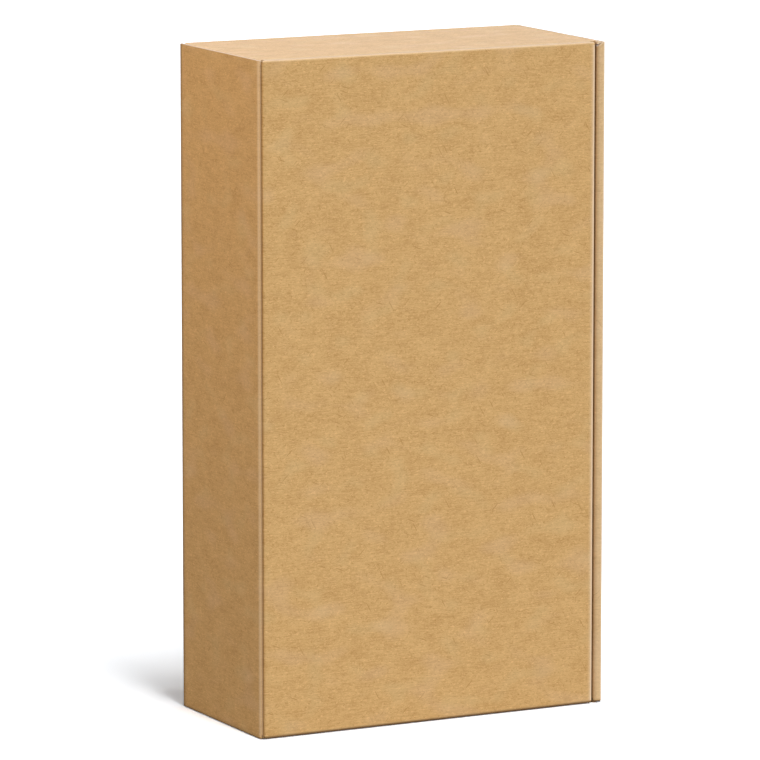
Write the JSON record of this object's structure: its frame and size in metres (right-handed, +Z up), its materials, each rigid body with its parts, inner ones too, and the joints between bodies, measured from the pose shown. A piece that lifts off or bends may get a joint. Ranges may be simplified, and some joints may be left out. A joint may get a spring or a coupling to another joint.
{
  "type": "cardboard box",
  "caption": "Tall closed mailer box of plain brown board, standing on a short end, with a front lid that swings on the left side and tucks in beside a rolled right wall.",
  "frame": {"origin": "centre of the outer faces at the level the box stands on", "axes": "+Z up along the long side, -Y out of the lid, -X towards the hinge side"},
  "size_m": [0.2, 0.094, 0.35],
  "materials": {
    "kraft_board": "matt unbleached kraft paper face",
    "kraft_board_lid": "matt unbleached kraft paper face"
  },
  "bodies": {
    "tray": {"tray": "kraft_board"},
    "lid": {"lid": "kraft_board_lid"}
  },
  "joints": [
    {"name": "lid_hinge", "type": "hinge", "parent": "tray", "child": "lid", "pos_m": [-0.09895, -0.04637, 0], "axis": [0, 0, -1], "range_deg": [0, 180]}
  ]
}
